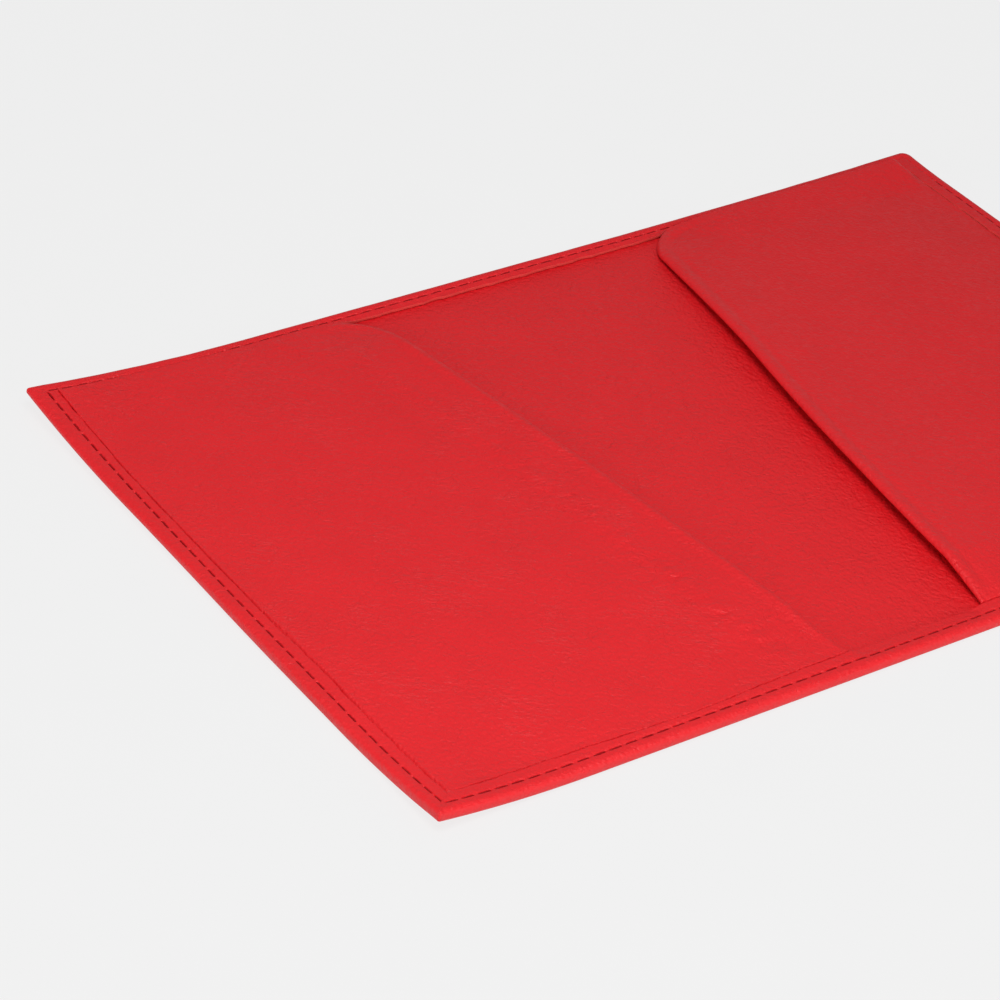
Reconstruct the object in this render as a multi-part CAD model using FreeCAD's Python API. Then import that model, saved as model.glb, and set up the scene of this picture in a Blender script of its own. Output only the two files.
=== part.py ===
"""Passport holder wallet, lying open with its inside up.

One leather cover sheet is turned over on to the inside all the way round, and the turned hem holds
two stiffener boards, the lining and the edges of two slanted pocket panels. A line of lockstitch runs
through everything along the hem. Two folds, one on each side of a narrow spine, let it close like a book.

Millimetres. +X runs from the left pocket to the right pocket, +Y from the near edge to the far edge,
+Z is up. The origin is on the underside, at the middle of the open cover.
"""

import FreeCAD, Part
import math
import os

V = FreeCAD.Vector

# The open cover: two faces of a passport cover, side by side.
open_width = 204.0
open_depth = 132.0
corner_radius = 1.2
rolled_edge_radius = 0.95

# The layers, from the underside up. The leather is skived thin where it is turned.
cover_t = 0.6
board_t = 0.4
lining_t = 0.3
pocket_t = 0.5
hem_t = 0.6
edge_wall_t = 0.6
hem_width = 4.6

# The spine, and the hairline that parts the stiff halves from it.
spine_width = 5.0
fold_slit = 0.1
board_to_spine = 4.0

# The pocket mouths lean outwards towards the far edge, and their far corners are rounded.
mouth_near_half_gap = 14.6
mouth_far_half_gap = 30.6
mouth_middle_x = -1.4
mouth_bow = 1.5
mouth_corner_radius = 14.0
left_pocket_rise = 1.0
right_pocket_rise = 3.8
flat_end_rise = 0.05

# The lockstitch.
stitch_inset = 2.0
left_stitch_inset = 2.4
stitch_pitch = 3.15
stitch_length = 2.4
needle_thread_d = 0.5
bobbin_thread_d = 0.3
groove_side_room = 0.1

# How far the cutting shapes reach past the part, and how closely a height or a direction is matched.
cutter_reach = 10.0
match = 0.01

# Heights of the layers.
board_z = cover_t
lining_z = board_z + board_t
pocket_z = lining_z + lining_t
hem_z = pocket_z + pocket_t
top_z = hem_z + hem_t

half_width = open_width / 2
half_depth = open_depth / 2
inner_half_width = half_width - edge_wall_t
inner_half_depth = half_depth - edge_wall_t
window_half_width = half_width - hem_width
window_half_depth = half_depth - hem_width
half_spine = spine_width / 2


def block(x0, x1, y0, y1, z0, z1):
    """A box from its lowest to its highest corner."""
    return Part.makeBox(x1 - x0, y1 - y0, z1 - z0, V(x0, y0, z0))


def band(x0, x1):
    """Everything between two planes across the width, used to part the cover at the folds."""
    return block(x0, x1, -open_depth, open_depth, -open_depth, open_depth)


LEFT_BAND = band(-open_width, -half_spine - fold_slit / 2)
SPINE_BAND = band(-half_spine + fold_slit / 2, half_spine - fold_slit / 2)
RIGHT_BAND = band(half_spine + fold_slit / 2, open_width)


def edges_along_z(shape):
    """The vertical edges of a box."""
    return [e for e in shape.Edges if abs(e.tangentAt(e.FirstParameter).z) > 1 - match]


def edges_around(shape, z):
    """The loop of edges that lies at height z."""
    return [e for e in shape.Edges if e.BoundBox.ZMin > z - match and e.BoundBox.ZMax < z + match]


def rounded_slab():
    """The outside of the closed edge: a thin slab with rounded corners and rolled edges."""
    slab = block(-half_width, half_width, -half_depth, half_depth, 0, top_z)
    slab = slab.makeFillet(corner_radius, edges_along_z(slab))
    rims = edges_around(slab, 0) + edges_around(slab, top_z)
    return slab.makeFillet(rolled_edge_radius, rims)


def mouth_x(side, y):
    """Where the straight part of a pocket's mouth is at depth y. side is -1 on the left, 1 on the right."""
    along = (y + window_half_depth) / (2 * window_half_depth)
    gap = mouth_near_half_gap + (mouth_far_half_gap - mouth_near_half_gap) * along
    return mouth_middle_x + side * gap


def pocket_outline(side):
    """The pocket panel's cut, as a face at height 0: a slanted, slightly bowed mouth with a rounded corner."""
    near_mouth = V(mouth_x(side, -inner_half_depth), -inner_half_depth, 0)
    corner = V(mouth_x(side, inner_half_depth), inner_half_depth, 0)
    far_outer = V(side * inner_half_width, inner_half_depth, 0)
    near_outer = V(side * inner_half_width, -inner_half_depth, 0)
    down_mouth = (near_mouth - corner).normalize()
    along_far = V(side, 0, 0)
    half_angle = down_mouth.getAngle(along_far) / 2
    arc_start = corner + down_mouth * (mouth_corner_radius / math.tan(half_angle))
    arc_end = corner + along_far * (mouth_corner_radius / math.tan(half_angle))
    bisector = (down_mouth + along_far).normalize()
    to_arc = mouth_corner_radius / math.sin(half_angle) - mouth_corner_radius
    arc = Part.Arc(arc_start, corner + bisector * to_arc, arc_end).toShape()
    bowed = (near_mouth + arc_start) * 0.5 - V(side * mouth_bow, 0, 0)
    edges = [
        Part.Arc(near_mouth, bowed, arc_start).toShape(),
        arc,
        Part.LineSegment(arc_end, far_outer).toShape(),
        Part.LineSegment(far_outer, near_outer).toShape(),
        Part.LineSegment(near_outer, near_mouth).toShape(),
    ]
    return Part.Face(Part.Wire(edges))


def arch_profile(x, rise):
    """The section of an arched panel across the depth, at width x."""

    def arc(z):
        ends = V(x, -window_half_depth, z), V(x, window_half_depth, z)
        return Part.Arc(ends[0], V(x, 0, z + rise), ends[1]).toShape()

    def end(y):
        return Part.LineSegment(V(x, y, pocket_z), V(x, y, pocket_z + pocket_t)).toShape()

    sides = [arc(pocket_z), end(window_half_depth), arc(pocket_z + pocket_t), end(-window_half_depth)]
    return Part.Wire(sides)


def pocket(side, rise):
    """A pocket panel: flat where the hem holds it, arched up towards its mouth between the hems."""
    arch_start = mouth_middle_x + side * mouth_near_half_gap / 2
    profiles = [arch_profile(arch_start, rise), arch_profile(side * window_half_width, flat_end_rise)]
    arched = Part.makeLoft(profiles, True, True)
    sheet = block(-inner_half_width, inner_half_width, -inner_half_depth, inner_half_depth, pocket_z, hem_z)
    window = block(
        -window_half_width, window_half_width, -window_half_depth, window_half_depth, 0, cutter_reach
    )
    border = sheet.cut(window)
    prism = pocket_outline(side).extrude(V(0, 0, cutter_reach))
    return arched.fuse(border).common(prism).removeSplitter()


def board(side):
    """A stiffener board, which stops short of the spine so that the cover can fold."""
    inner_x = side * (half_spine + board_to_spine)
    outer_x = side * inner_half_width
    x0, x1 = sorted((inner_x, outer_x))
    return block(x0, x1, -inner_half_depth, inner_half_depth, board_z, lining_z)


def lining():
    """The lining sheet, from edge to edge under the hem."""
    return block(-inner_half_width, inner_half_width, -inner_half_depth, inner_half_depth, lining_z, pocket_z)


def spaced(start, end):
    """Middles of the stitches that fit evenly between two corner holes of the stitch line."""
    count = round((end - start).Length / stitch_pitch)
    return [start + (end - start) * ((i + 0.5) / count) for i in range(count)]


def stitch_corners():
    """The corner holes of the stitch line, in order round the cover."""
    x0 = -half_width + left_stitch_inset
    x1 = half_width - stitch_inset
    y1 = half_depth - stitch_inset
    return [V(x0, -y1, 0), V(x1, -y1, 0), V(x1, y1, 0), V(x0, y1, 0)]


def stitch_runs():
    """The four sides of the stitch line as pairs of corner holes."""
    corners = stitch_corners()
    return [(corners[i], corners[(i + 1) % 4]) for i in range(4)]


def groove(width, z0, z1):
    """The shallow channel that the thread beds into."""
    parts = []
    for start, end in stitch_runs():
        xs = sorted((start.x, end.x))
        ys = sorted((start.y, end.y))
        r = width / 2
        parts.append(block(xs[0] - r, xs[1] + r, ys[0] - r, ys[1] + r, z0, z1))
    return parts[0].multiFuse(parts[1:])


def thread(diameter, z):
    """The visible stitches of one thread, each a short rod whose axis is at height z."""
    rods = []
    for start, end in stitch_runs():
        along = (end - start).normalize()
        for middle in spaced(start, end):
            foot = middle - along * (stitch_length / 2) + V(0, 0, z)
            rods.append(Part.makeCylinder(diameter / 2, stitch_length, foot, along))
    return rods


def cover(inside):
    """The cover sheet with its turned hem, closed round everything that the hem holds."""
    window = block(
        -window_half_width, window_half_width, -window_half_depth, window_half_depth, pocket_z, cutter_reach
    )
    needle_groove = groove(needle_thread_d + 2 * groove_side_room, top_z - needle_thread_d / 2, cutter_reach)
    bobbin_groove = groove(bobbin_thread_d + 2 * groove_side_room, -cutter_reach, bobbin_thread_d)
    return rounded_slab().cut(inside + [window, needle_groove, bobbin_groove])


def write(name, shape):
    """Writes one sub-part, and prints what it is made of."""
    shape.exportStep(f"parts/{name}.step")
    print(f"{name}: {len(shape.Solids)} solids, {shape.Volume:.1f} mm3, valid {shape.isValid()}")


def write_parted(name, shape):
    """Writes the left half, the spine and the right half of a sheet that runs across the folds."""
    write(f"{name}_left", shape.common(LEFT_BAND))
    write(f"{name}_spine", shape.common(SPINE_BAND))
    write(f"{name}_right", shape.common(RIGHT_BAND))


def write_thread(name, rods):
    """Writes a thread's stitches, each with the half or the spine that its middle is on."""
    bands = {"left": [], "spine": [], "right": []}
    for rod in rods:
        x = rod.CenterOfMass.x
        reach = rod.BoundBox.XLength / 2
        if abs(x) < half_spine - reach:
            bands["spine"].append(rod)
        elif abs(x) > half_spine + reach:
            bands["left" if x < 0 else "right"].append(rod)
    for place, group in bands.items():
        write(f"{name}_{place}", Part.makeCompound(group))


left_pocket = pocket(-1, left_pocket_rise)
right_pocket = pocket(1, right_pocket_rise)
left_board = board(-1)
right_board = board(1)
lining_sheet = lining()

write_parted("outer_cover", cover([left_pocket, right_pocket, left_board, right_board, lining_sheet]))
write_parted("lining", lining_sheet)
write("stiffener_left", left_board)
write("stiffener_right", right_board)
write("pocket_left", left_pocket)
write("pocket_right", right_pocket)
write_thread("needle_thread", thread(needle_thread_d, top_z))
write_thread("bobbin_thread", thread(bobbin_thread_d, bobbin_thread_d / 2))
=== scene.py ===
"""Looks of the open passport holder wallet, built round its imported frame.

Lengths in this script are in millimetres, as in the part's own source, and become metres when a mesh
is made. +X runs from the left pocket to the right pocket, +Y from the near edge to the far edge.
"""

import functools
import math

import bmesh
import bpy
import numpy as np
from mathutils import Matrix, Vector

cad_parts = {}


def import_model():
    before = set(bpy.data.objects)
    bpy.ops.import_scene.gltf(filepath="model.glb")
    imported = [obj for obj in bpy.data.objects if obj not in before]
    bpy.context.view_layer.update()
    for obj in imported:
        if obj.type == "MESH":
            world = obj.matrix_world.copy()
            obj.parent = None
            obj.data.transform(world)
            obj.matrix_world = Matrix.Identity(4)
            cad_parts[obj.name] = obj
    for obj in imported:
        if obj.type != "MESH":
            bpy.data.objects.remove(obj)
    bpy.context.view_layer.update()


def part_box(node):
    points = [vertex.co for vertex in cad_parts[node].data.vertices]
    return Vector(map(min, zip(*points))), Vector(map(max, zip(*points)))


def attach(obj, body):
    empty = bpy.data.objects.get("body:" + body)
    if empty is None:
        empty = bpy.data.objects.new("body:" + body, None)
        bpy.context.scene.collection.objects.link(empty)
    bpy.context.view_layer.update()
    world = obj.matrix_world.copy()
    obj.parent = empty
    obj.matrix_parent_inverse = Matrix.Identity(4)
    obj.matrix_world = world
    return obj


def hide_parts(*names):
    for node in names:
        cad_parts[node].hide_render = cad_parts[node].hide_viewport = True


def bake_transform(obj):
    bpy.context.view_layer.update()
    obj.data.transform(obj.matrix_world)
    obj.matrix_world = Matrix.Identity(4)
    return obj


MM = 0.001

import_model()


def box_mm(node):
    """Lowest and highest corner of a CAD node, in millimetres."""
    low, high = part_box(node)
    return np.array(low) / MM, np.array(high) / MM


cover_low, cover_high = box_mm("outer_cover_left")
board_low = box_mm("stiffener_left")[0]
lining_low, lining_high = box_mm("lining_left")
pocket_low = box_mm("pocket_left")[0]

half_width = -cover_low[0]
half_depth = -cover_low[1]
top_z = cover_high[2]
inner_half_width = -pocket_low[0]
inner_half_depth = -pocket_low[1]

# Layers, with a hair of air between neighbours so that no two surfaces touch.
air = 0.02
cover_t = board_low[2] - air
pocket_z = lining_high[2] + air
pocket_t = 0.5 - air
pocket_top = pocket_z + pocket_t
hem_under_z = pocket_top + air

hem_width = 4.6
cut_x = half_width - hem_width
cut_y = half_depth - hem_width
corner_radius = {-1: 0.45, 1: 2.2}
inner_corner_radius = 0.25
roll_depth = 1.0

# Along the far edge the hem is cut shorter, and close to the stitches where a pocket swells up
# against them.
far_hem = 3.55
pocket_hem = 2.55
squeeze_from = 2.3

# The stitch line.
stitch_inset = 2.0
left_stitch_inset = 2.4
stitch_pitch = 3.15
stitch_length = 2.5
needle_thread_r = 0.125
bobbin_thread_r = 0.13
stations_per_stitch = 12

# How much each corner has curled up: side in X, side in Y, height, and its reach along X and along Y.
CORNER_CURLS = [
    (-1, -1, 2.1, 30.0, 28.0),
    (-1, 1, 2.5, 46.0, 37.0),
    (1, 1, 0.5, 45.0, 12.0),
    (1, -1, 1.2, 30.0, 28.0),
]
# The far edge of the right half runs slightly out of square.
far_edge_skew = 0.95
far_edge_skew_start = 30.0
# How far the left stitch line wanders in at its far end, the near one all along, and how far the near
# hem's cut wanders out about one place. The left hem's cut lies further out over its middle stretch.
# Each shift fades out at the given distance in from the edge.
left_line_wander = 0.8
left_line_fade = 8.0
near_line_wander = 0.36
near_line_fade = 7.0
near_cut_wander = 1.05
near_cut_wander_x = -50.0
near_cut_wander_reach = 17.0
left_cut_wander = 0.4
cut_fade = 10.0
line_to_cut = 0.5
# The edge is pressed thin at the left far corner.
edge_pinch = 0.85
edge_pinch_reach = 1.9


def smooth(t):
    """Smooth step of t from 0 to 1."""
    t = np.clip(t, 0, 1)
    return t * t * (3 - 2 * t)


def bump(distance, width):
    """A smooth bell that is 1 at distance 0 and fades out over width."""
    return np.exp(-((distance / width) ** 2))


noise_size = 128


@functools.cache
def noise_table(seed):
    """Random values from -1 to 1 on a square grid."""
    return np.random.default_rng(seed).uniform(-1, 1, (noise_size, noise_size))


def noise(x, y, scale_x, scale_y, seed):
    """Smooth random values from -1 to 1 with features of about the given size."""
    size = noise_size
    table = noise_table(seed)
    u = np.asarray(x, float) / scale_x + 1000
    v = np.asarray(y, float) / scale_y + 1000
    i = np.floor(u).astype(int)
    j = np.floor(v).astype(int)
    s = smooth(u - i)
    t = smooth(v - j)
    low = table[i % size, j % size] * (1 - s) + table[(i + 1) % size, j % size] * s
    high = table[i % size, (j + 1) % size] * (1 - s) + table[(i + 1) % size, (j + 1) % size] * s
    return low * (1 - t) + high * t


def settle(points):
    """Lays flat points as the used wallet lies: its corners curl up and one edge is out of square."""
    p = np.array(points, float)
    x = p[:, 0].copy()
    y = p[:, 1].copy()
    from_left = half_width + x
    from_near = half_depth + y
    at_line = np.interp(from_left, [0, left_stitch_inset, left_line_fade], [0, 1, 0])
    p[:, 0] += left_line_wander * smooth((y + 10) / 70) * at_line
    p[:, 1] += near_line_wander * np.interp(from_near, [0, stitch_inset, near_line_fade], [0, 1, 0])
    at_cut = np.interp(from_near, [stitch_inset + line_to_cut, hem_width, cut_fade], [0, 1, 0])
    p[:, 1] -= near_cut_wander * bump(x - near_cut_wander_x, near_cut_wander_reach) * at_cut
    reaches = [left_stitch_inset + line_to_cut, hem_width, cut_fade]
    at_left_cut = np.interp(from_left, reaches, [0, 1, 0])
    p[:, 0] -= left_cut_wander * smooth((y + 25) / 20) * smooth((50 - y) / 15) * at_left_cut
    from_edge = np.minimum(from_left, np.where(x < 0, half_depth - y, half_width))
    pinched = smooth((y + 20) / 50) * smooth((-x - 60) / 30) * smooth(1 - from_edge / edge_pinch_reach)
    p[:, 2] += edge_pinch * pinched * np.clip(1 - p[:, 2] / top_z, 0, 1)
    for side_x, side_y, height, reach_x, reach_y in CORNER_CURLS:
        away = (half_width - side_x * x) / reach_x + (half_depth - side_y * y) / reach_y
        p[:, 2] += height * np.clip(1 - away, 0, 1) ** 2
    along = np.clip((x - far_edge_skew_start) / (half_width - far_edge_skew_start), 0, 1)
    p[:, 1] += far_edge_skew * along**1.3 * smooth(y / half_depth)
    return p


def make_piece(name, points, faces, materials, face_materials=None, sharp_angle=50):
    """A mesh object from points in millimetres, with outward normals and smooth shading."""
    mesh = bpy.data.meshes.new(name)
    mesh.from_pydata((settle(points) * MM).tolist(), [], faces)
    for material in materials:
        mesh.materials.append(material)
    if face_materials is not None:
        mesh.polygons.foreach_set("material_index", face_materials)
    work = bmesh.new()
    work.from_mesh(mesh)
    bmesh.ops.remove_doubles(work, verts=work.verts, dist=0.0000005)
    bmesh.ops.recalc_face_normals(work, faces=work.faces)
    work.to_mesh(mesh)
    work.free()
    mesh.shade_smooth()
    mesh.set_sharp_from_angle(angle=math.radians(sharp_angle))
    piece = bpy.data.objects.new(name, mesh)
    bpy.context.scene.collection.objects.link(piece)
    return piece


def bend_with_fold(piece, side):
    """Bakes a piece's placement into its mesh points; the piece does not bend across the fold."""
    if side < 0:
        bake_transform(piece)
    else:
        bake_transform(piece)


# Materials ----------------------------------------------------------------------------------------


class Nodes:
    """A material under construction."""

    def __init__(self, name):
        self.material = bpy.data.materials.new(name)
        self.material.use_nodes = True
        self.tree = self.material.node_tree
        self.shader = self.tree.nodes["Principled BSDF"]
        self.place = self.add("ShaderNodeTexCoord").outputs["Object"]

    def add(self, kind, values=None, **settings):
        node = self.tree.nodes.new(kind)
        for key, value in settings.items():
            setattr(node, key, value)
        for key, value in (values or {}).items():
            if isinstance(value, bpy.types.NodeSocket):
                self.tree.links.new(value, node.inputs[key])
            else:
                node.inputs[key].default_value = value
        return node

    def noise(self, scale, detail=2.0, roughness=0.5, place=None):
        values = {
            "Vector": place or self.place,
            "Scale": scale,
            "Detail": detail,
            "Roughness": roughness,
        }
        return self.add("ShaderNodeTexNoise", values).outputs["Fac"]

    def cells(self, scale, feature, place):
        values = {"Vector": place, "Scale": scale}
        return self.add("ShaderNodeTexVoronoi", values, feature=feature).outputs["Distance"]

    def math(self, operation, a, b=0.0):
        return self.add("ShaderNodeMath", {0: a, 1: b}, operation=operation).outputs[0]

    def range(self, value, low, high, to_low=0.0, to_high=1.0, smooth_step=False):
        values = {
            "Value": value,
            "From Min": low,
            "From Max": high,
            "To Min": to_low,
            "To Max": to_high,
        }
        kind = "SMOOTHSTEP" if smooth_step else "LINEAR"
        return self.add("ShaderNodeMapRange", values, interpolation_type=kind).outputs[0]

    def mix(self, factor, a, b):
        node = self.add("ShaderNodeMix", data_type="RGBA")
        for socket, value in (("Factor_Float", factor), ("A_Color", a), ("B_Color", b)):
            target = next(s for s in node.inputs if s.identifier == socket)
            if isinstance(value, bpy.types.NodeSocket):
                self.tree.links.new(value, target)
            else:
                target.default_value = value
        return next(s for s in node.outputs if s.identifier == "Result_Color")

    def warped(self, scale, amount):
        """The place, pushed about by noise so that cells don't look regular."""
        push = self.add("ShaderNodeTexNoise", {"Vector": self.place, "Scale": scale, "Detail": 2.0})
        centred = self.add("ShaderNodeVectorMath", {0: push.outputs["Color"], 1: (0.5, 0.5, 0.5)})
        centred.operation = "SUBTRACT"
        values = {0: centred.outputs[0], "Scale": amount}
        scaled = self.add("ShaderNodeVectorMath", values, operation="SCALE")
        return self.add("ShaderNodeVectorMath", {0: self.place, 1: scaled.outputs[0]}).outputs[0]

    def stretched(self, angle, times):
        """The place, turned about Z and drawn out so that patterns become long along one direction."""
        turned = self.add("ShaderNodeVectorRotate", {"Vector": self.place, "Angle": angle})
        turned.rotation_type = "Z_AXIS"
        values = {0: turned.outputs[0], 1: (1 / times, 1, 1)}
        return self.add("ShaderNodeVectorMath", values, operation="MULTIPLY").outputs[0]

    def bump(self, height, distance, strength=1.0, below=None):
        values = {"Height": height, "Distance": distance, "Strength": strength}
        if below is not None:
            values["Normal"] = below
        return self.add("ShaderNodeBump", values).outputs["Normal"]

    def finish(self, **sockets):
        for key, value in sockets.items():
            socket = self.shader.inputs[key.replace("_", " ")]
            if isinstance(value, bpy.types.NodeSocket):
                self.tree.links.new(value, socket)
            else:
                socket.default_value = value
        return self.material


def leather(name, light, deep, grain=1.0, roughness=0.52, wrinkled=0.0):
    """Dyed full-grain leather: fine pebbles, thin creases between them, uneven dye, and painted shade
    that darkens the colour slightly along the creases.
    """
    n = Nodes(name)
    pebbles = n.cells(1500, "SMOOTH_F1", n.warped(900, 0.00055))
    creases = n.cells(430, "DISTANCE_TO_EDGE", n.warped(420, 0.0018))
    pores = n.noise(5200, 2.0)
    patches = n.noise(95, 3.0, 0.6)
    crease_line = n.range(creases, 0.0, 0.07, 1.0, 0.0, True)
    crease_part = n.range(n.noise(260, 2.0), 0.42, 0.62, 0.0, 1.0, True)
    creased = n.math("MULTIPLY", crease_line, crease_part)
    pebble_height = n.range(pebbles, 0.0, 0.75, 1.0, 0.0)
    height = n.math("SUBTRACT", pebble_height, n.math("MULTIPLY", creased, 0.35))
    height = n.math("ADD", height, n.math("MULTIPLY", pores, 0.3))
    height = n.math("ADD", height, n.math("MULTIPLY", n.noise(620, 2.0), 0.6))
    if wrinkled:
        drawn_out = n.noise(1000, 2.0, 0.5, n.stretched(0.67, 5.0))
        folds = n.math("ABSOLUTE", n.math("SUBTRACT", drawn_out, 0.5))
        fold_part = n.range(n.noise(70, 2.0), 0.45, 0.6, 0.0, wrinkled, True)
        fold_line = n.range(folds, 0.0, 0.05, 1.0, 0.0, True)
        height = n.math("ADD", height, n.math("MULTIPLY", fold_line, fold_part))
    uneven = n.range(patches, 0.3, 0.7, 0.0, 1.0)
    # Painted shade: besides the uneven dye patches, the colour is darkened slightly along the grain
    # creases.
    dye_and_crease_shade = n.math("ADD", n.math("MULTIPLY", uneven, 0.35), n.math("MULTIPLY", creased, 0.06))
    colour = n.mix(n.math("MINIMUM", dye_and_crease_shade, 1.0), light, deep)
    gloss = n.range(n.noise(700, 2.0), 0.3, 0.7, roughness - 0.05, roughness + 0.08)
    return n.finish(
        Base_Color=colour,
        Roughness=gloss,
        Normal=n.bump(height, 0.00013 * grain),
        Specular_IOR_Level=0.5,
    )


def cut_leather():
    """The raw cut edge of the hem: matt, fibrous and a little darker."""
    n = Nodes("cut_leather_edge")
    fibres = n.noise(3800, 4.0, 0.7)
    colour = n.mix(fibres, (0.56, 0.022, 0.022, 1), (0.72, 0.055, 0.045, 1))
    return n.finish(Base_Color=colour, Roughness=0.8, Normal=n.bump(fibres, 0.00006))


def thread():
    """Bonded polyester thread with its fine filaments."""
    n = Nodes("polyester_thread")
    filaments = n.noise(7000, 3.0, 0.7)
    colour = n.mix(filaments, (0.20, 0.0015, 0.003, 1), (0.44, 0.004, 0.007, 1))
    return n.finish(
        Base_Color=colour,
        Roughness=n.range(filaments, 0.3, 0.7, 0.32, 0.5),
        Normal=n.bump(filaments, 0.00003),
        Specular_IOR_Level=0.2,
    )


def fibre_board():
    """Pressed grey-brown board."""
    n = Nodes("pressed_fibre_board")
    fibres = n.noise(900, 5.0, 0.75)
    flecks = n.range(n.cells(380, "F1", n.place), 0.0, 0.12, 1.0, 0.0, True)
    colour = n.mix(fibres, (0.23, 0.19, 0.15, 1), (0.36, 0.31, 0.25, 1))
    colour = n.mix(n.math("MULTIPLY", flecks, 0.5), colour, (0.12, 0.10, 0.08, 1))
    return n.finish(Base_Color=colour, Roughness=0.85, Normal=n.bump(fibres, 0.00005))


RED_LIGHT = (0.76, 0.0062, 0.0118, 1)
RED_DEEP = (0.65, 0.0044, 0.0088, 1)
cover_leather = leather("cover_leather_grain", RED_LIGHT, RED_DEEP, grain=0.8)
lining_leather = leather("lining_leather_grain", RED_LIGHT, RED_DEEP, grain=1.1)
pocket_leather = leather("pocket_leather_grain", RED_LIGHT, RED_DEEP, grain=0.9, wrinkled=0.3)
raw_edge = cut_leather()
stitch_thread = thread()
board_fibre = fibre_board()


# Mouths of the pockets ----------------------------------------------------------------------------

# X of each mouth at the near hem, and how far it has gone outwards at the far hem: straight and curved.
mouth_near_x = {-1: -16.0, 1: 13.0}
mouth_straight = {-1: 12.6, 1: 12.5}
mouth_curved = {-1: 3.6, 1: 6.0}
mouth_curve_power = {-1: 2.0, 1: 2.0}
mouth_bow = {-1: 0.0, 1: 0.75}
mouth_bow_y = 32.0
mouth_bow_reach = 28.0
mouth_corner_radius = 9.5
mouth_corner_far_y = half_depth - 2.3
mouth_corner_y = mouth_corner_far_y - mouth_corner_radius
pocket_far_y = half_depth - 1.5


def mouth_line_x(side, y):
    """X of a pocket's mouth at depth y, before its rounded far corner."""
    along = np.clip((y + cut_y) / (2 * cut_y), 0, 1.04)
    curved = mouth_curved[side] * along ** mouth_curve_power[side]
    bowed = mouth_bow[side] * bump(y - mouth_bow_y, mouth_bow_reach)
    return mouth_near_x[side] + side * (mouth_straight[side] * along + curved + bowed)


def mouth_x(side, y):
    """X of a pocket's mouth at depth y: a slight curve that turns into the rounded far corner."""
    into_corner = np.clip(y - mouth_corner_y, 0, mouth_corner_radius)
    corner = mouth_corner_radius - np.sqrt(mouth_corner_radius**2 - into_corner**2)
    return mouth_line_x(side, y) + side * corner


def mouth_distance(side, x, y):
    """Distance from a pocket's mouth, inwards over the pocket, and round its far corner."""
    slant = np.gradient(mouth_line_x(side, y[:, 0]), y[:, 0])[:, None]
    across = side * (x - mouth_line_x(side, y)) / np.sqrt(1 + slant**2)
    up = y - mouth_corner_y
    from_centre = np.hypot(mouth_corner_radius - across, up)
    from_corner_end = np.hypot(across - mouth_corner_radius, mouth_corner_radius - up)
    beyond = np.minimum(across, from_corner_end)
    in_corner = (up > 0) & (across < mouth_corner_radius)
    return np.clip(np.where(in_corner, mouth_corner_radius - from_centre, beyond), 0, None)


# Cover --------------------------------------------------------------------------------------------

hem_sag = 0.42
hem_unevenness = 0.035
line_valley = 0.13
valley_width = 0.42
slot_depth = 0.25
slot_half_width = 0.15
slot_half_length = 1.3
needle_pit = 0.10
bridge_bulge = 0.03
cut_wave = 0.13
far_cut_wave = 0.24
inner_ring = 6.0
grid_ring = 7.4
corner_walk = 12.0
corner_steps = 8
grid_every = 6
fine_columns_within = 8.0


def stitch_middles(x_or_y):
    """Middles of the stitches along X (a long edge) or along Y (a short edge)."""
    if x_or_y == "x":
        start = -half_width + left_stitch_inset
        end = half_width - stitch_inset
    else:
        start = -half_depth + stitch_inset
        end = half_depth - stitch_inset
    count = round((end - start) / stitch_pitch)
    return start + (end - start) * (np.arange(count) + 0.5) / count


def stitch_distance(along, axis):
    """Distance from a place along an edge to the middle of the nearest stitch."""
    return float(np.min(np.abs(stitch_middles(axis) - along)))


def edge_stations(axis):
    """Places along one edge, on the stitch line: a fixed number to each stitch."""
    middles = stitch_middles(axis)
    step = middles[1] - middles[0]
    start = middles[0] - step / 2
    places = start + step * np.arange(len(middles) * stations_per_stitch + 1) / stations_per_stitch
    return places


def half_walk(side):
    """Stations round one half's three edges, as (edge, place along it, angle in the corner)."""
    long_edge = edge_stations("x") * side
    long_edge = np.sort(long_edge[long_edge > 0.15])
    outward = np.concatenate([[0.0], long_edge])
    depth = edge_stations("y")
    walk = [("near", a, 0.0) for a in outward]
    walk += [("near_corner", 0.0, q) for q in np.linspace(0, 1, corner_steps + 1)[1:-1]]
    walk += [("side", a, 0.0) for a in depth]
    walk += [("far_corner", 0.0, q) for q in np.linspace(0, 1, corner_steps + 1)[1:-1]]
    walk += [("far", a, 0.0) for a in outward[::-1]]
    return walk


def stretch(place, limit, line_limit):
    """Moves a place on the stitch line to a ring that ends at limit, over the last stretch only."""
    start = line_limit - corner_walk
    share = max(0.0, abs(place) - start) / corner_walk
    return math.copysign(min(abs(place), start) + share * (limit - start), place)


def far_cut(side, x):
    """Distance in from the far edge at which the hem ends, short of a pocket's rounded corner."""
    y = np.linspace(mouth_corner_y, mouth_corner_far_y, 60)
    reached = np.interp(side * x, side * mouth_x(side, y), y)
    return float(np.clip(half_depth - reached - 0.15, pocket_hem, far_hem))


def squeezed(inset, cut):
    """A distance in from the far edge, drawn in so that the hem ends at cut."""
    share = (cut - squeeze_from) / (hem_width - squeeze_from)
    return inset if inset < squeeze_from else squeeze_from + (inset - squeeze_from) * share


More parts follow.
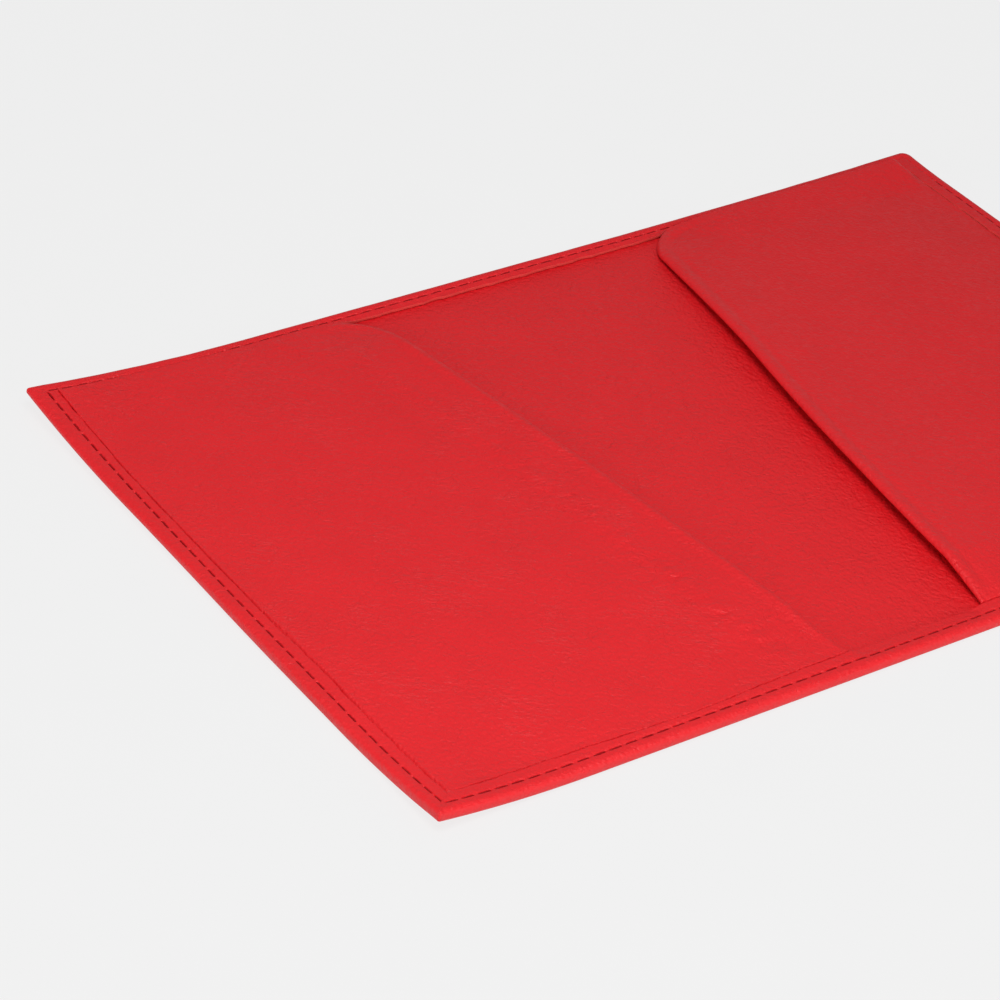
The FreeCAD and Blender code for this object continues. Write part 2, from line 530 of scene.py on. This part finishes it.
def ring_point(side, station, inset, on_flap=False):
    """Plan position of a station on the ring at a distance in from the outer edge."""
    edge, place, turn = station
    radius = max(corner_radius[side] - inset, inner_corner_radius)
    line_x = half_width - (left_stitch_inset if side < 0 else stitch_inset)
    line_y = half_depth - stitch_inset
    x_end = half_width - inset - radius
    y_end = half_depth - inset - radius
    corner_inset = squeezed(inset, pocket_hem) if on_flap else inset
    far_y_end = half_depth - corner_inset - radius
    if edge == "near":
        return side * stretch(place, x_end, line_x), -(half_depth - inset)
    if edge == "far":
        x = side * stretch(place, x_end, line_x)
        return x, half_depth - (squeezed(inset, far_cut(side, x)) if on_flap else inset)
    if edge == "side":
        return side * (half_width - inset), stretch(place, far_y_end if place > 0 else y_end, line_y)
    angle = turn * math.pi / 2
    if edge == "near_corner":
        return side * (x_end + radius * math.sin(angle)), -(y_end + radius * math.cos(angle))
    return side * (x_end + radius * math.cos(angle)), far_y_end + radius * math.sin(angle)


def between_mouths(x, y):
    """1 where only the lining lies under the hem, 0 where a pocket does."""
    left = smooth((x - mouth_x(-1, y)) / 3 + 0.2)
    right = smooth((mouth_x(1, y) - x) / 3 + 0.2)
    return left * right


# Places across the stitch line at which the section has a point, on the underside and on the hem.
UNDER_OFFSETS = (0.5, 0.3, 0.18, 0.0, -0.18, -0.3, -0.5)
BESIDE_SLOT = (0.05, 0.11, 0.16, 0.22, 0.32, 0.5, 0.75)
TOP_OFFSETS = (*[-offset for offset in reversed(BESIDE_SLOT)], *BESIDE_SLOT, 1.0)


def cover_section():
    """The closed section of the turned cover: (distance in from the edge, height, what it is)."""
    points = [(inner_ring, 0.0, "under"), (4.2, 0.0, "under"), (3.1, 0.0, "under")]
    points += [("stitch", offset, "under_groove") for offset in UNDER_OFFSETS]
    for step in range(13):
        angle = math.pi * step / 12
        across = roll_depth * (1 - math.sin(angle) ** 0.85)
        rounded = math.copysign(abs(math.cos(angle)) ** 0.8, math.cos(angle))
        points.append((across, top_z / 2 * (1 - rounded), "roll"))
    points += [("stitch", offset, "flap") for offset in TOP_OFFSETS]
    points += [(inset, top_z, "flap") for inset in (3.5, 3.9, 4.2, 4.42)]
    points += [(4.54, top_z - 0.03, "flap"), (4.6, top_z - 0.12, "cut"), (4.6, top_z - 0.34, "cut")]
    points += [(4.56, hem_under_z + 0.02, "cut")]
    points += [(inset, hem_under_z, "flap") for inset in (4.2, 2.2, 0.9)]
    points += [(0.62, hem_under_z - 0.2, "inside"), (0.58, 1.2, "inside")]
    points += [(0.62, cover_t + 0.12, "inside")]
    points += [(0.8, cover_t, "inside"), (2.4, cover_t, "inside"), (inner_ring, cover_t, "inside")]
    return points


def hem_drop(x, y, inset):
    """How much the hem has sunk where only the lining lies under it."""
    return hem_sag * float(between_mouths(x, y)) * float(smooth((inset - 0.8) / 3.6))


# Where the leather has closed over the stitches, and how deep they lie there.
swallowed_most = 0.85
swallowed_x = -74.0
swallowed_reach = 13.0
swallowed_corner_reach = 12.0
swallowed_depth = 0.2


def swallowed(x, y):
    """How far the leather hides the stitches: on a stretch of the far edge, and at one corner."""
    far_stretch = swallowed_most * float(bump(x - swallowed_x, swallowed_reach)) if y > 0 else 0.0
    to_corner = math.hypot(half_width - x, half_depth - y)
    return max(far_stretch, float(bump(to_corner, swallowed_corner_reach)))


def stitch_dip(level, away, shown):
    """Depth of the stitch line's valley and slots.

    level is across from the line, away is from a stitch's middle, and shown is 1 for a full slot.
    """
    slot = shown * float(smooth((slot_half_length - away) / 0.2))
    wall = float(smooth((slot_half_width + 0.06 - abs(level)) / 0.11))
    pit = needle_pit * float(bump(away - slot_half_length + 0.2, 0.25))
    bridge = bridge_bulge * (1 - slot) * float(bump(level, 0.35))
    return line_valley * float(bump(level, valley_width)) + slot * (slot_depth + pit) * wall - bridge


def cover_point(side, station, section_point):
    """Place of one section point at one station, in the flat wallet."""
    across, level, kind = section_point
    on_side = station[0] == "side"
    line = left_stitch_inset if side < 0 and on_side else stitch_inset
    edge_number = ("near", "near_corner", "side", "far_corner", "far").index(station[0])
    wave_place = station[1] + 300 * edge_number
    inset = across
    if across == "stitch":
        inset = line - level if kind == "under_groove" else line + level
    if 4.0 < inset < 5.0 and kind in ("flap", "cut"):
        wave = noise(wave_place, 0.0, 2.6, 1.0, 5) + 0.6 * noise(wave_place, 0.0, 0.9, 1.0, 6)
        inset += (far_cut_wave if station[0] == "far" else cut_wave) * float(wave)
    x, y = ring_point(side, station, inset, kind in ("flap", "cut"))
    if kind == "under_groove":
        away = stitch_distance(y if on_side else x, "y" if on_side else "x")
        hole = float(bump(away - stitch_length / 2, 0.24)) if "corner" not in station[0] else 0.0
        return x, y, 0.17 * float(bump(level, 0.22)) + 0.05 * hole * float(bump(level, 0.2))
    z = top_z if across == "stitch" else level
    if z < cover_t + 0.5:
        return x, y, z
    z -= hem_drop(x, y, inset)
    if z > pocket_top:
        z += hem_unevenness * float(noise(wave_place, inset, 4.5, 1.8, 7))
    if across == "stitch":
        corner = "corner" in station[0]
        away = stitch_pitch / 2
        if not corner:
            away = stitch_distance(y if on_side else x, "y" if on_side else "x")
        beside = half_depth - y - line if station[0] == "far" else level
        z -= stitch_dip(beside, away, 1 - swallowed(x, y))
    return x, y, z


def cover_half(side):
    """One half of the cover sheet with its turned hem, as far as the middle of the spine."""
    walk = half_walk(side)
    section = cover_section()
    count = len(section)
    points = [cover_point(side, station, part) for station in walk for part in section]
    faces = []
    looks = []
    for s in range(len(walk) - 1):
        for k in range(count - 1):
            a = s * count + k
            faces.append((a, a + 1, a + count + 1, a + count))
            looks.append(1 if section[k][2] == "cut" or section[k + 1][2] == "cut" else 0)
    kept = kept_stations(walk)
    grid, sheet_points = flat_grid(side, walk, kept)
    for level, ring in ((0.0, 0), (cover_t, count - 1)):
        first = len(points)
        points += [(x, y, level) for x, y in sheet_points]
        add_flat_sheet(faces, looks, kept, grid, first, ring, count)
    size = len(sheet_points)
    close_at_spine(faces, looks, walk, count, grid, len(points) - 2 * size, size)
    name = "cover_left" if side < 0 else "cover_right"
    return make_piece(name, points, faces, [cover_leather, raw_edge], looks)


def kept_stations(walk):
    """The stations that the coarser flat grid keeps: one in each corner, all of them near the spine."""
    kept = []
    for i, (edge, place, turn) in enumerate(walk):
        if "corner" in edge:
            if abs(turn - 0.5) < 1e-6:
                kept.append(i)
        elif edge == "side":
            if i % grid_every == 0 and abs(place) < half_depth - stitch_inset - 1.5:
                kept.append(i)
        else:
            from_end = i if edge == "near" else len(walk) - 1 - i
            inside = place < half_width - left_stitch_inset - 1.5
            if inside and (place < fine_columns_within or from_end % grid_every == 0):
                kept.append(i)
    return kept


def flat_grid(side, walk, kept):
    """Indices of the flat grid's points by column and row, and the points' plan positions."""
    near = [i for i in kept if walk[i][0] == "near"]
    depth = [i for i in kept if walk[i][0] == "side"]
    columns = [ring_point(side, walk[i], grid_ring)[0] for i in near]
    columns.append(side * (half_width - grid_ring))
    rows = [-(half_depth - grid_ring)]
    rows += [ring_point(side, walk[i], grid_ring)[1] for i in depth]
    rows.append(half_depth - grid_ring)
    index = np.arange(len(columns) * len(rows)).reshape(len(columns), len(rows))
    return index, [(x, y) for x in columns for y in rows]


def grid_border(grid):
    """The flat grid's border points in the order of the walk: near edge, side, far edge."""
    return [*grid[:, 0], *grid[-1, 1:-1], *grid[::-1, -1]]


def add_flat_sheet(faces, looks, kept, grid, first, ring, count):
    """Joins a flat grid to one ring of the section, a many-sided face to each kept station."""
    border = [first + int(i) for i in grid_border(grid)]
    for (i, j), a, b in zip(zip(kept, kept[1:]), border, border[1:]):
        faces.append(tuple(s * count + ring for s in range(i, j + 1)) + (b, a))
        looks.append(0)
    for c in range(grid.shape[0] - 1):
        for r in range(grid.shape[1] - 1):
            corners = (grid[c, r], grid[c + 1, r], grid[c + 1, r + 1], grid[c, r + 1])
            faces.append(tuple(first + int(i) for i in corners))
            looks.append(0)


def close_at_spine(faces, looks, walk, count, grid, first, size):
    """Closes the half where it meets the other one, at the middle of the spine."""
    under = [first + int(i) for i in grid[0]]
    inside = [i + size for i in under]
    for r in range(len(under) - 1):
        faces.append((under[r], under[r + 1], inside[r + 1], inside[r]))
        looks.append(0)
    last = (len(walk) - 1) * count
    for base, end in ((0, 0), (last, -1)):
        faces.append((base, under[end], inside[end], base + count - 1))
        faces.append(tuple(base + k for k in range(count)))
        looks += [0, 0]


# Flat sheets under the pockets --------------------------------------------------------------------


def slab(name, columns, rows, under, over, materials):
    """A closed sheet over a grid of columns and rows, between two height functions."""
    x, y = np.meshgrid(columns, rows, indexing="ij")
    low = np.stack([x, y, under(x, y)], -1).reshape(-1, 3)
    high = np.stack([x, y, over(x, y)], -1).reshape(-1, 3)
    n, m = len(columns), len(rows)
    index = np.arange(n * m).reshape(n, m)
    faces = quads(index) + [tuple(i + n * m for i in reversed(f)) for f in quads(index)]
    faces += wall(index, n * m)
    return make_piece(name, np.concatenate([low, high]), faces, materials)


def quads(index):
    """Faces of a grid of point indices."""
    a, b, c, d = index[:-1, :-1], index[1:, :-1], index[1:, 1:], index[:-1, 1:]
    return np.stack([a, b, c, d], -1).reshape(-1, 4).tolist()


def wall(index, offset):
    """Faces between the borders of two equal grids, the second one numbered offset higher."""
    loop = [*index[:, 0], *index[-1, 1:], *index[::-1, -1][1:], *index[0, ::-1][1:]]
    pairs = zip(loop, loop[1:])
    return [(int(a), int(b), int(b) + offset, int(a) + offset) for a, b in pairs]


def lining_half(side):
    """One half of the lining sheet, fine where it shows between the mouths."""
    fine = np.arange(0, 46, 0.55)
    coarse = np.linspace(46, inner_half_width - air, 22)
    columns = side * np.concatenate([fine, coarse])
    rows = np.linspace(-inner_half_depth + air, inner_half_depth - air, 210)

    def under(x, y):
        return np.full_like(x, lining_low[2] + air)

    def over(x, y):
        soft = 0.05 * noise(x, y, 9, 11, 21) + 0.03 * noise(x, y, 2.2, 2.6, 22)
        held = smooth((cut_y - np.abs(y)) / 6) * smooth((30 - np.abs(x)) / 10)
        return lining_high[2] - 0.05 + soft * held * 0.6

    return slab("lining_left_half" if side < 0 else "lining_right_half", columns, rows, under, over,
                [lining_leather])


def board(side):
    """One stiffener board, which follows its half's curled corners."""
    low, high = box_mm("stiffener_left" if side < 0 else "stiffener_right")
    columns = np.linspace(low[0] + air, high[0] - air, 46)
    rows = np.linspace(low[1] + air, high[1] - air, 62)
    return slab(
        "board_left" if side < 0 else "board_right",
        columns,
        rows,
        lambda x, y: np.full_like(x, low[2] + air / 2),
        lambda x, y: np.full_like(x, high[2] - air / 2),
        [board_fibre],
    )


# Pockets ------------------------------------------------------------------------------------------

turned_rim = 10.0
rim_t = 0.92
flush_z = top_z - 0.08
pocket_cut_y = half_depth - pocket_hem


def towards_far(body, height, from_far, reach):
    """The body's height, drawn towards the given height beside the far hem."""
    share = smooth(1 - from_far / reach)
    return body + (height - body) * share


# Left pocket: the swell beside its mouth, its height beside the far hem and how much more that is about
# one place, the rolled lip, the puckers along the turned rim, and the valley beside the stitches.
left_swell = 1.05
left_swell_reach = 14
left_far_height = 0.08
left_far_reach = 13
left_far_puff = 0.16
left_far_puff_x = -74
left_far_puff_reach = 20
left_roll = 0.34
left_roll_reach = 1.35
pucker_height = 0.14
left_valley = 0.12
left_near_valley = 0.07
valley_reach = 0.5


def left_top(d, x, y):
    """Height of the left pocket's upper face, at distance d in from its mouth."""
    from_left = cut_x + x
    from_near = y + cut_y
    from_far = pocket_cut_y - y
    apart = smooth(from_near / 20) * smooth(from_left / 30) * smooth(from_far / 20 + 0.25)
    body = flush_z + (0.06 + left_swell * np.exp(-d / left_swell_reach)) * apart
    puff = left_far_puff * bump(x - left_far_puff_x, left_far_puff_reach)
    body = towards_far(body, top_z + left_far_height + puff, from_far, left_far_reach)
    body = body + 0.10 * smooth((y - 42) / 8) * smooth(1 - from_left / 4)
    line = 0.10 * bump(d - 1.3, 0.9) - 0.06 * bump(d - 3.4, 1.2)
    fold = 0.10 * bump(d - turned_rim - 0.4, 1.0)
    roll = left_roll * np.clip(1 - d / left_roll_reach, 0, 1) ** 1.2
    roll = roll * smooth(from_near / 3) * smooth(from_far / 2)
    band = smooth((d - 5.5) / 4.5) * smooth((16.5 - d) / 5.5)
    wrinkles = 1 - 2 * np.abs(noise(y + 0.25 * x, d, 1.15, 3.4, 31))
    puckers = wrinkles + 0.5 * noise(y, d, 0.7, 2.2, 32)
    fade = 0.3 + 0.7 * smooth((28 - y) / 40) * smooth(from_near / 8)
    soft = 0.10 * noise(x, y, 22, 26, 33) + 0.035 * noise(x, y, 6, 7, 34)
    held = smooth(from_left / 8) * smooth(from_near / 6) * smooth(from_far / 3)
    broken = 0.6 + 0.4 * noise(x, y, 7, 7, 35)
    valley = left_valley * bump(from_left - 1.35, valley_reach) * smooth((48 - y) / 20)
    valley = valley + left_near_valley * bump(from_near - 1.5, valley_reach)
    puckered = pucker_height * puckers * band * fade
    return body + (line + fold + puckered + soft) * held - valley * broken - roll


# Right pocket: how high its lip gapes and how much lower it is far away, the puff of its far side, the
# rolled lip, and the valleys beside the stitches.
right_lip = 2.7
right_lip_falls = 1.85
right_swell_reach = 19
right_puff = 1.3
right_far_height = 0.16
right_far_reach = 11
right_roll = 0.4
right_valley = 0.12
right_near_valley = 0.09


def right_top(d, x, y):
    """Height of the right pocket's upper face: its mouth gapes and its far side is puffed."""
    from_right = cut_x - x
    from_near = np.clip(y + cut_y, 0, None)
    from_far = pocket_cut_y - y
    opened = np.clip(from_near / 12, 0, 1) ** 0.7
    outer = smooth(from_right / 26)
    lip = right_lip - right_lip_falls * smooth((y - 18) / 44)
    inner = (0.7 + 0.35 * smooth((y - 20) / 30)) * (0.4 + 0.6 * smooth(from_near / 35))
    body = flush_z + (inner + (lip - inner) * np.exp(-d / right_swell_reach)) * opened * outer
    puff = right_puff * smooth((x - 36) / 16) * smooth(from_right / 1.6)
    body = towards_far(body, top_z + right_far_height + puff, from_far - 0.9, right_far_reach)
    line = 0.08 * bump(d - 1.6, 0.9) - 0.22 * bump(d - 3.0, 1.0)
    fold = 0.07 * bump(d - turned_rim, 1.2)
    soft = 0.10 * noise(x, y, 24, 22, 41) + 0.035 * noise(x, y, 6, 7, 42)
    held = smooth(from_right / 8) * smooth(from_near / 6) * smooth(from_far / 4)
    broken = 0.6 + 0.4 * noise(x, y, 7, 7, 45)
    valley = right_valley * bump(from_right - 1.3, valley_reach)
    valley = valley + right_near_valley * bump(from_near - 1.6, valley_reach)
    roll = right_roll * np.clip(1 - d, 0, 1) ** 2 * smooth(from_near / 5) * smooth(from_far / 6)
    return body + (line + fold + soft) * held - valley * broken - roll


def emerging(side, x, y):
    """0 under the hem and 1 beside it: how far the pocket has come up out of the hem's crevice."""
    uneven = 1 + 0.35 * noise(x, y, 5, 5, 36)
    from_side = (cut_x - np.abs(x)) / uneven
    from_near = (cut_y + y) / uneven
    from_far = pocket_cut_y - y
    if side > 0:
        slow = 0.45 * smooth((45 - y) / 20)
        beside = (1 - slow) * smooth(from_side / 0.2) + slow * smooth(from_side / 1.0)
        far = smooth(from_far / (0.16 + 0.6 * smooth((x - 38) / 14)))
    else:
        beside = smooth(from_side / (0.12 + 0.34 * smooth((50 - y) / 16) + 0.3 * smooth((15 - y) / 30)))
        far = smooth(from_far / 0.16)
    return beside * smooth(from_near / 0.34) * far


def spread(*stretches):
    """Places along a line from (start, end, spacing) stretches, each start once."""
    parts = [np.linspace(a, b, max(2, round((b - a) / step) + 1))[:-1] for a, b, step in stretches]
    return np.concatenate([*parts, [stretches[-1][1]]])


def pocket_rows():
    """Depths of a pocket's rows, close together where it comes up out of the hems."""
    return spread(
        (-inner_half_depth, -cut_y - 0.3, 1.2),
        (-cut_y - 0.3, -cut_y + 1.2, 0.12),
        (-cut_y + 1.2, -cut_y + 6, 0.3),
        (-cut_y + 6, mouth_corner_y, 0.55),
        (mouth_corner_y, pocket_cut_y - 1.6, 0.3),
        (pocket_cut_y - 1.6, pocket_cut_y + 0.02, 0.06),
        (pocket_cut_y + 0.02, pocket_far_y, 0.35),
    )


def pocket_columns(side, y):
    """X of a pocket's points in each row, close together at the mouth and beside the outer hem."""
    lip = [0, 0.02, 0.07, 0.15, 0.26, 0.4]
    from_mouth = np.concatenate([lip, spread((0.55, 5, 0.3), (5, 16, 0.5))])
    across_middle = np.linspace(0, 1, 70)[1:-1]
    border = inner_half_width - cut_x
    crevice = (border - 0.2, border + 0.9, 0.1)
    from_outer = spread((0, border - 0.2, 1.0), crevice, (border + 0.9, 10, 0.35))[::-1]
    near_part = mouth_x(side, y)[:, None] + side * from_mouth[None, :]
    far_part = np.full((len(y), 1), side * inner_half_width) - side * from_outer[None, :]
    start = near_part[:, -1:]
    middle_part = start + (far_part[:, :1] - start) * across_middle[None, :]
    return np.concatenate([near_part, middle_part, far_part], 1)


def pocket(side, top_height):
    """A pocket panel: a sheet with a turned rim along its mouth, held flat under the hem."""
    y = pocket_rows()
    x = pocket_columns(side, y)
    depth = np.repeat(y[:, None], x.shape[1], 1)
    d = mouth_distance(side, x, depth)
    top = pocket_top + (top_height(d, x, depth) - pocket_top) * emerging(side, x, depth)
    open_share = smooth((top - pocket_top) / 0.5)
    rim_share = open_share * smooth((turned_rim + 0.8 - d) / 0.8) * smooth((pocket_cut_y - depth) / 3)
    thick = pocket_t + (rim_t - pocket_t) * rim_share
    half = thick / 2
    in_from_edge = np.where(depth > mouth_corner_far_y - 0.05, half, d)
    round_end = np.sqrt(np.clip(half**2 - np.clip(half - in_from_edge, 0, half) ** 2, 0, None))
    rounded = in_from_edge < half
    high = np.where(rounded, top - half + round_end, top)
    low = np.where(rounded, top - half - round_end, top - thick)
    rows, columns = x.shape
    index = np.arange(rows * columns).reshape(rows, columns)
    below = index + rows * columns
    points = np.concatenate([
        np.stack([x, depth, high], -1).reshape(-1, 3),
        np.stack([x, depth, low], -1).reshape(-1, 3),
    ])
    faces = quads(index) + [f[::-1] for f in quads(below)] + wall(index, rows * columns)
    name = "pocket_left_panel" if side < 0 else "pocket_right_panel"
    return make_piece(name, points, faces, [pocket_leather])


# Stitches -----------------------------------------------------------------------------------------

plies = 3
ply_relief = 0.17
ply_twist = 4.6
thread_sides = 9
thread_rings = 15
stitch_slant = 0.05


def stitch_places():
    """Every stitch as (middle, direction along it, direction across it) in plan."""
    x0 = -half_width + left_stitch_inset
    x1 = half_width - stitch_inset
    y1 = half_depth - stitch_inset
    places = []
    for x in stitch_middles("x"):
        places.append((np.array([x, -y1]), np.array([1.0, 0.0])))
        places.append((np.array([x, y1]), np.array([-1.0, 0.0])))
    for y in stitch_middles("y"):
        places.append((np.array([x0, y]), np.array([0.0, -1.0])))
        places.append((np.array([x1, y]), np.array([0.0, 1.0])))
    return places


def one_stitch(middle, along, radius, level, up, turn):
    """A twisted thread that comes up out of one needle hole and dives into the next."""
    t = np.linspace(-1, 1, thread_rings)
    across = np.array([-along[1], along[0]])
    reach = stitch_length / 2 + 0.06
    run = np.sign(t) * (1 - (1 - np.abs(t)) ** 1.25) * reach
    dive = -(np.abs(t) ** 5) * 2.6 * radius
    points = []
    for i in range(thread_rings):
        for k in range(thread_sides):
            angle = 2 * math.pi * k / thread_sides
            swell = 1 + ply_relief * math.cos(plies * (angle - turn) - ply_twist * run[i])
            slim = 1 - 0.25 * abs(t[i]) ** 4
            side = radius * swell * slim * math.cos(angle)
            lift = radius * swell * slim * math.sin(angle)
            plan = middle + along * run[i] + across * (side + stitch_slant * t[i])
            points.append((plan[0], plan[1], level + up * (dive[i] + lift)))
    return points


def tube_faces(first):
    """Faces of one stitch's tube with closed ends."""
    faces = []
    for i in range(thread_rings - 1):
        for k in range(thread_sides):
            a = first + i * thread_sides + k
            b = first + i * thread_sides + (k + 1) % thread_sides
            faces.append((a, b, b + thread_sides, a + thread_sides))
    faces.append(tuple(first + k for k in range(thread_sides)))
    last = first + (thread_rings - 1) * thread_sides
    faces.append(tuple(last + k for k in reversed(range(thread_sides))))
    return faces


def stitches(name, side, radius, level, up):
    """All stitches of one thread on one half."""
    rng = np.random.default_rng(61)
    points = []
    faces = []
    for middle, along in stitch_places():
        turn, wobble, height = rng.uniform(-1, 1, 3)
        if (middle[0] < 0) != (side < 0):
            continue
        sag = 0.0
        if up > 0:
            hidden = swallowed_depth * swallowed(middle[0], middle[1])
            sag = hem_drop(middle[0], middle[1], stitch_inset) + hidden
        faces += tube_faces(len(points))
        shifted = middle + np.array([-along[1], along[0]]) * 0.05 * wobble
        points += one_stitch(shifted, along, radius, level - sag + 0.02 * height, up, turn * math.pi)
    return make_piece(name, points, faces, [stitch_thread], sharp_angle=80)


# Assembly -----------------------------------------------------------------------------------------


def assemble():
    """Builds every piece, hangs the boards and pockets on their halves' bodies, and hides the frame's
    parts that the pieces replace.
    """
    needle_level = top_z - 0.25
    bobbin_level = bobbin_thread_r + 0.05
    pockets = {-1: left_top, 1: right_top}
    for side, word, half in ((-1, "left", "left_half"), (1, "right", "right_half")):
        spine = ("outer_cover_spine",) if side < 0 else ()
        cover = cover_half(side)
        bend_with_fold(cover, side)
        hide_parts(f"outer_cover_{word}", *spine)
        lining = lining_half(side)
        bend_with_fold(lining, side)
        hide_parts(f"lining_{word}", *(("lining_spine",) if side < 0 else ()))
        stiffener = board(side)
        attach(stiffener, half)
        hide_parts(f"stiffener_{word}")
        panel = pocket(side, pockets[side])
        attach(panel, half)
        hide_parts(f"pocket_{word}")
        for thread_name, radius, level, up in (
            ("needle", needle_thread_r, needle_level, 1),
            ("bobbin", bobbin_thread_r, bobbin_level, -1),
        ):
            line = stitches(f"{thread_name}_stitches_{word}", side, radius, level, up)
            bend_with_fold(line, side)
            nodes = [f"{thread_name}_thread_{word}"]
            nodes += [f"{thread_name}_thread_spine"] if side < 0 else []
            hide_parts(*nodes)
        y = np.linspace(-inner_half_depth, inner_half_depth, 400)
        width = inner_half_width - np.abs(mouth_x(side, y)) + turned_rim


# Stage, light and camera --------------------------------------------------------------------------


def floor_material():
    """Pale studio floor, mostly evenly lit."""
    n = Nodes("pale_studio_floor")
    speck = n.noise(60, 3.0, 0.5)
    colour = n.mix(speck, (0.055, 0.055, 0.055, 1), (0.062, 0.062, 0.062, 1))
    return n.finish(
        Base_Color=colour,
        Roughness=0.9,
        Specular_IOR_Level=0.1,
        Emission_Color=(1, 1, 1, 1),
        Emission_Strength=0.81,
        Normal=n.bump(speck, 0.00002),
    )


def floor():
    """A wide plain floor just under the wallet."""
    mesh = bpy.data.meshes.new("studio_floor")
    reach = 3.0
    corners = [(-reach, -reach, 0), (reach, -reach, 0), (reach, reach, 0), (-reach, reach, 0)]
    mesh.from_pydata(corners, [], [(0, 1, 2, 3)])
    mesh.materials.append(floor_material())
    piece = bpy.data.objects.new("studio_floor", mesh)
    piece.location.z = -0.00005
    bpy.context.scene.collection.objects.link(piece)


def softbox(name, place, aim, width, height, power):
    """A large rectangular area light."""
    data = bpy.data.lights.new(name, "AREA")
    data.shape = "RECTANGLE"
    data.size = width
    data.size_y = height
    data.energy = power
    light = bpy.data.objects.new(name, data)
    light.location = place
    light.rotation_euler = (Vector(aim) - Vector(place)).to_track_quat("-Z", "Y").to_euler()
    bpy.context.scene.collection.objects.link(light)


def world(strength):
    """Even white light from all round."""
    scene_world = bpy.data.worlds.new("soft_room")
    scene_world.use_nodes = True
    background = scene_world.node_tree.nodes["Background"]
    background.inputs["Color"].default_value = (1, 1, 1, 1)
    background.inputs["Strength"].default_value = strength
    bpy.context.scene.world = scene_world


def camera():
    """The camera looks down from the near left, through a long lens."""
    azimuth = math.radians(-38.228)
    elevation = math.radians(34.563)
    roll = math.radians(6.556)
    target = Vector((-41.78, 4.40, 0)) * MM
    distance = 656.0 * MM
    back = Vector((
        math.sin(azimuth) * math.cos(elevation),
        -math.cos(azimuth) * math.cos(elevation),
        math.sin(elevation),
    ))
    level_right = (-back).cross(Vector((0, 0, 1))).normalized()
    level_up = level_right.cross(-back)
    right = level_right * math.cos(roll) + level_up * math.sin(roll)
    up = level_up * math.cos(roll) - level_right * math.sin(roll)
    data = bpy.data.cameras.new("camera")
    data.lens = 135.2
    data.sensor_width = 36.0
    data.clip_start = 0.01
    cam = bpy.data.objects.new("camera", data)
    turn = Matrix((right, up, back)).transposed().to_4x4()
    cam.matrix_world = Matrix.Translation(target + back * distance) @ turn
    bpy.context.scene.collection.objects.link(cam)
    bpy.context.scene.camera = cam


camera()
bpy.context.scene.view_settings.view_transform = "Standard"
world(0.27)
softbox("key", (-0.170, -0.200, 0.454), (-0.170, -0.200, 0), 0.22, 0.22, 1.84)
softbox("near_fill", (0.0, -1.45, 0.40), (0, 0, 0), 0.7, 0.7, 7.0)
softbox("left_fill", (-1.30, -0.10, 0.36), (0, 0, 0), 0.6, 0.4, 3.0)
softbox("far_sheen", (0.99, 1.26, 0.22), (0, 0, 0), 1.6, 0.4, 0.7)
floor()
assemble()
